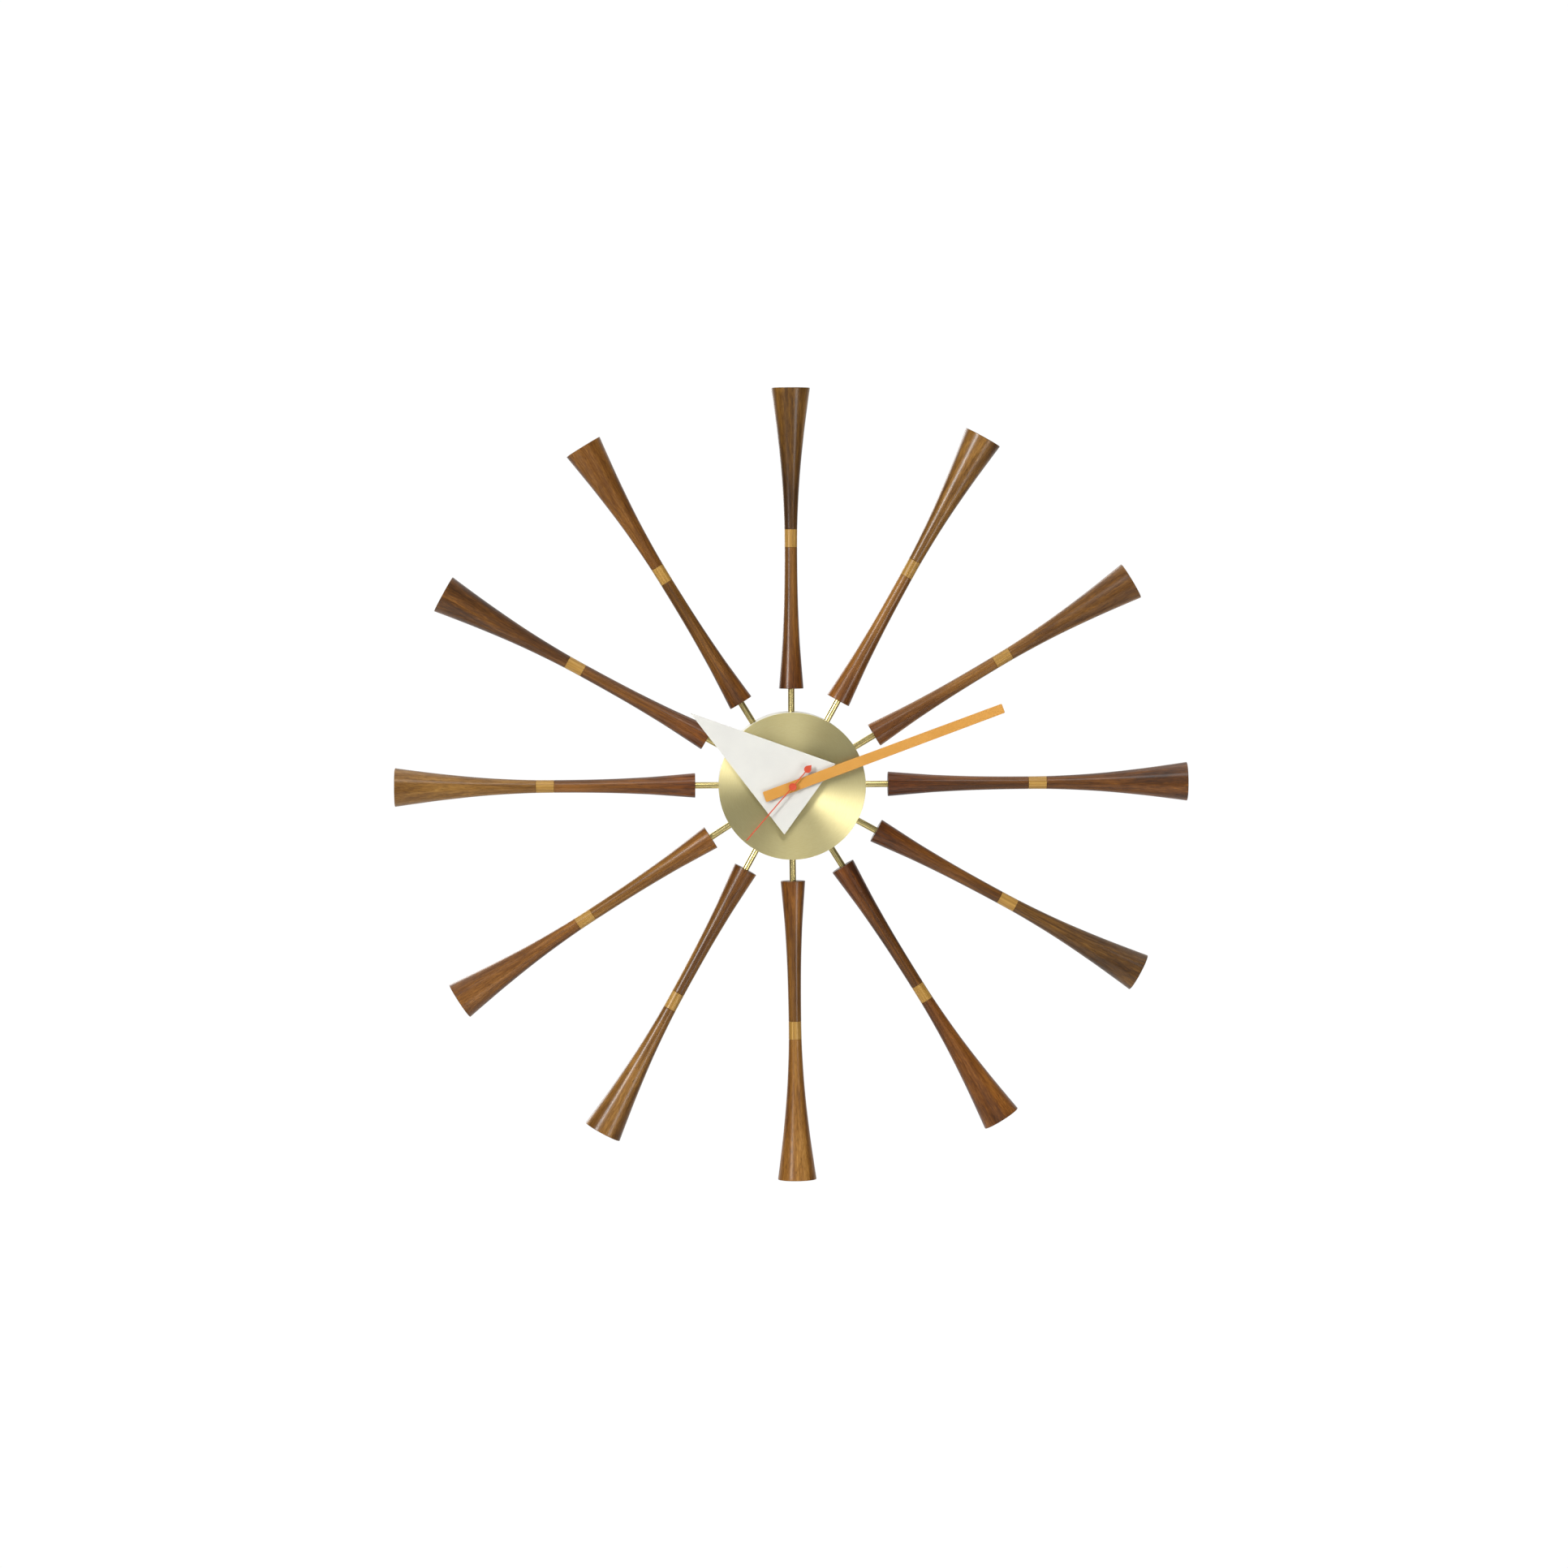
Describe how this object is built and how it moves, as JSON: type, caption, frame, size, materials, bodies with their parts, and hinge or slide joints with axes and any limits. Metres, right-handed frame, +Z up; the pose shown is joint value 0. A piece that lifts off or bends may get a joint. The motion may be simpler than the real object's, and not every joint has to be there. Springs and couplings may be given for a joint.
{
  "type": "sunburst wall clock",
  "caption": "Round wall clock with turned wooden spindles radiating on brass rods from a brass-faced hub that holds a quartz movement and painted hands.",
  "frame": {"origin": "on the hands' axis, in the wall-side face of the back plate", "axes": "+X to the right seen from the front, +Y into the wall, +Z up towards the twelve o'clock spindle"},
  "size_m": [0.576, 0.0611, 0.5759],
  "materials": {
    "walnut": "turned, satin clear lacquer",
    "polished_brass": "polished",
    "turned_brass": "face-turned, fine concentric lines",
    "white_lacquer": "smooth off-white lacquer",
    "white_hand_lacquer": "satin off-white lacquer",
    "ochre_hand_lacquer": "satin ochre lacquer",
    "red_hand_lacquer": "satin vermilion lacquer",
    "aluminium": "turned",
    "steel": "zinc plated",
    "black_plastic": "moulded, fine texture",
    "wheel_plastic": "moulded acetal",
    "magnet": "sintered",
    "copper": "enamelled wire",
    "board": "solder mask",
    "rubber": "matt",
    "battery_jacket": "plain printed sleeve without text"
  },
  "bodies": {
    "clock": {"spindle_1": "walnut", "rod_1": "polished_brass", "spindle_2": "walnut", "rod_2": "polished_brass", "spindle_3": "walnut", "rod_3": "polished_brass", "spindle_4": "walnut", "rod_4": "polished_brass", "spindle_5": "walnut", "rod_5": "polished_brass", "spindle_6": "walnut", "rod_6": "polished_brass", "spindle_7": "walnut", "rod_7": "polished_brass", "spindle_8": "walnut", "rod_8": "polished_brass", "spindle_9": "walnut", "rod_9": "polished_brass", "spindle_10": "walnut", "rod_10": "polished_brass", "spindle_11": "walnut", "rod_11": "polished_brass", "spindle_12": "walnut", "rod_12": "polished_brass", "hub_housing": "white_lacquer", "brass_dial": "turned_brass", "spoke_ring": "aluminium", "back_plate": "white_lacquer", "cover_screw_1": "steel", "cover_screw_2": "steel", "cover_screw_3": "steel", "movement_case": "black_plastic", "movement_cover": "black_plastic", "gear_plate": "black_plastic", "rubber_washer": "rubber", "dial_washer": "polished_brass", "hex_nut": "polished_brass", "stator": "steel", "coil": "copper", "circuit_board": "board", "crystal": "steel", "contact_positive": "steel", "contact_negative": "steel"},
    "minute_hand": {"minute_hand": "ochre_hand_lacquer", "minute_pipe": "polished_brass", "centre_wheel": "wheel_plastic"},
    "hour_hand": {"hour_hand": "white_hand_lacquer", "hour_wheel": "wheel_plastic"},
    "second_hand": {"second_hand": "red_hand_lacquer", "second_hand_cap": "red_hand_lacquer", "seconds_wheel": "wheel_plastic"},
    "third_wheel": {"third_wheel": "wheel_plastic"},
    "intermediate_wheel": {"intermediate_wheel": "wheel_plastic"},
    "rotor": {"rotor_pinion": "wheel_plastic", "rotor_magnet": "magnet"},
    "setting_work": {"motion_wheel": "wheel_plastic", "setting_knob": "black_plastic"},
    "battery": {"battery": "battery_jacket"}
  },
  "joints": [
    {"name": "minute_hand_turn", "type": "hinge", "parent": "clock", "child": "minute_hand", "pos_m": [0, 0, 0], "axis": [0, 1, 0], "continuous": true},
    {"name": "hour_hand_turn", "type": "hinge", "parent": "clock", "child": "hour_hand", "pos_m": [0, 0, 0], "axis": [0, 1, 0], "continuous": true},
    {"name": "second_hand_turn", "type": "hinge", "parent": "clock", "child": "second_hand", "pos_m": [0, 0, 0], "axis": [0, 1, 0], "continuous": true},
    {"name": "third_wheel_turn", "type": "hinge", "parent": "clock", "child": "third_wheel", "pos_m": [-0.00801, 0, 0.00672], "axis": [0, 1, 0], "continuous": true},
    {"name": "intermediate_wheel_turn", "type": "hinge", "parent": "clock", "child": "intermediate_wheel", "pos_m": [0.00255, 0, 0.01025], "axis": [0, 1, 0], "continuous": true},
    {"name": "rotor_turn", "type": "hinge", "parent": "clock", "child": "rotor", "pos_m": [-0.00003, 0, 0.01735], "axis": [0, 1, 0], "continuous": true},
    {"name": "setting_knob_turn", "type": "hinge", "parent": "clock", "child": "setting_work", "pos_m": [0.01125, 0, 0.00239], "axis": [0, 1, 0], "continuous": true},
    {"name": "battery_slide", "type": "slide", "parent": "clock", "child": "battery", "axis": [0, 1, 0], "range_m": [0, 0.046]}
  ],
  "couplings": [
    {"joint": "hour_hand_turn", "follows": "minute_hand_turn", "ratio": 0.083333},
    {"joint": "second_hand_turn", "follows": "minute_hand_turn", "ratio": 60},
    {"joint": "third_wheel_turn", "follows": "minute_hand_turn", "ratio": -8},
    {"joint": "intermediate_wheel_turn", "follows": "minute_hand_turn", "ratio": -300},
    {"joint": "rotor_turn", "follows": "minute_hand_turn", "ratio": 1800},
    {"joint": "setting_knob_turn", "follows": "minute_hand_turn", "ratio": -0.33333}
  ]
}
